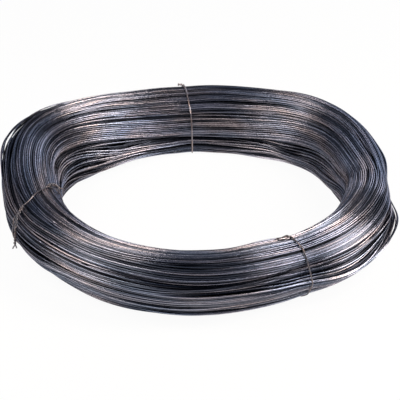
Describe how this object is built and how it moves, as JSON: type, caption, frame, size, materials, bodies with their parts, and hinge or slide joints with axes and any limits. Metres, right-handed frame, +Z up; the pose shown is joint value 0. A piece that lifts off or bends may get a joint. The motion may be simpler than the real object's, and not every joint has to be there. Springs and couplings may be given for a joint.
{
  "type": "coil of tie wire",
  "caption": "Ring-shaped coil of thin dark annealed steel wire, wound in a loose bundle and held round the bundle by twisted wire ties.",
  "frame": {"origin": "on the coil's axis at floor level, under the middle of the ring as it lies flat", "axes": "+Z up along the coil's axis, +X to the right and -Y to the front as in the picture"},
  "size_m": [0.352, 0.3524, 0.0653],
  "materials": {
    "wire": "black annealed steel, dull blue-grey with a slight sheen",
    "tie_wire": "annealed steel, dull grey-brown"
  },
  "bodies": {
    "root": {"coil": "wire", "tie_back": "tie_wire", "tie_front": "tie_wire", "tie_left_top": "tie_wire", "tie_left_bottom": "tie_wire"}
  },
  "joints": []
}
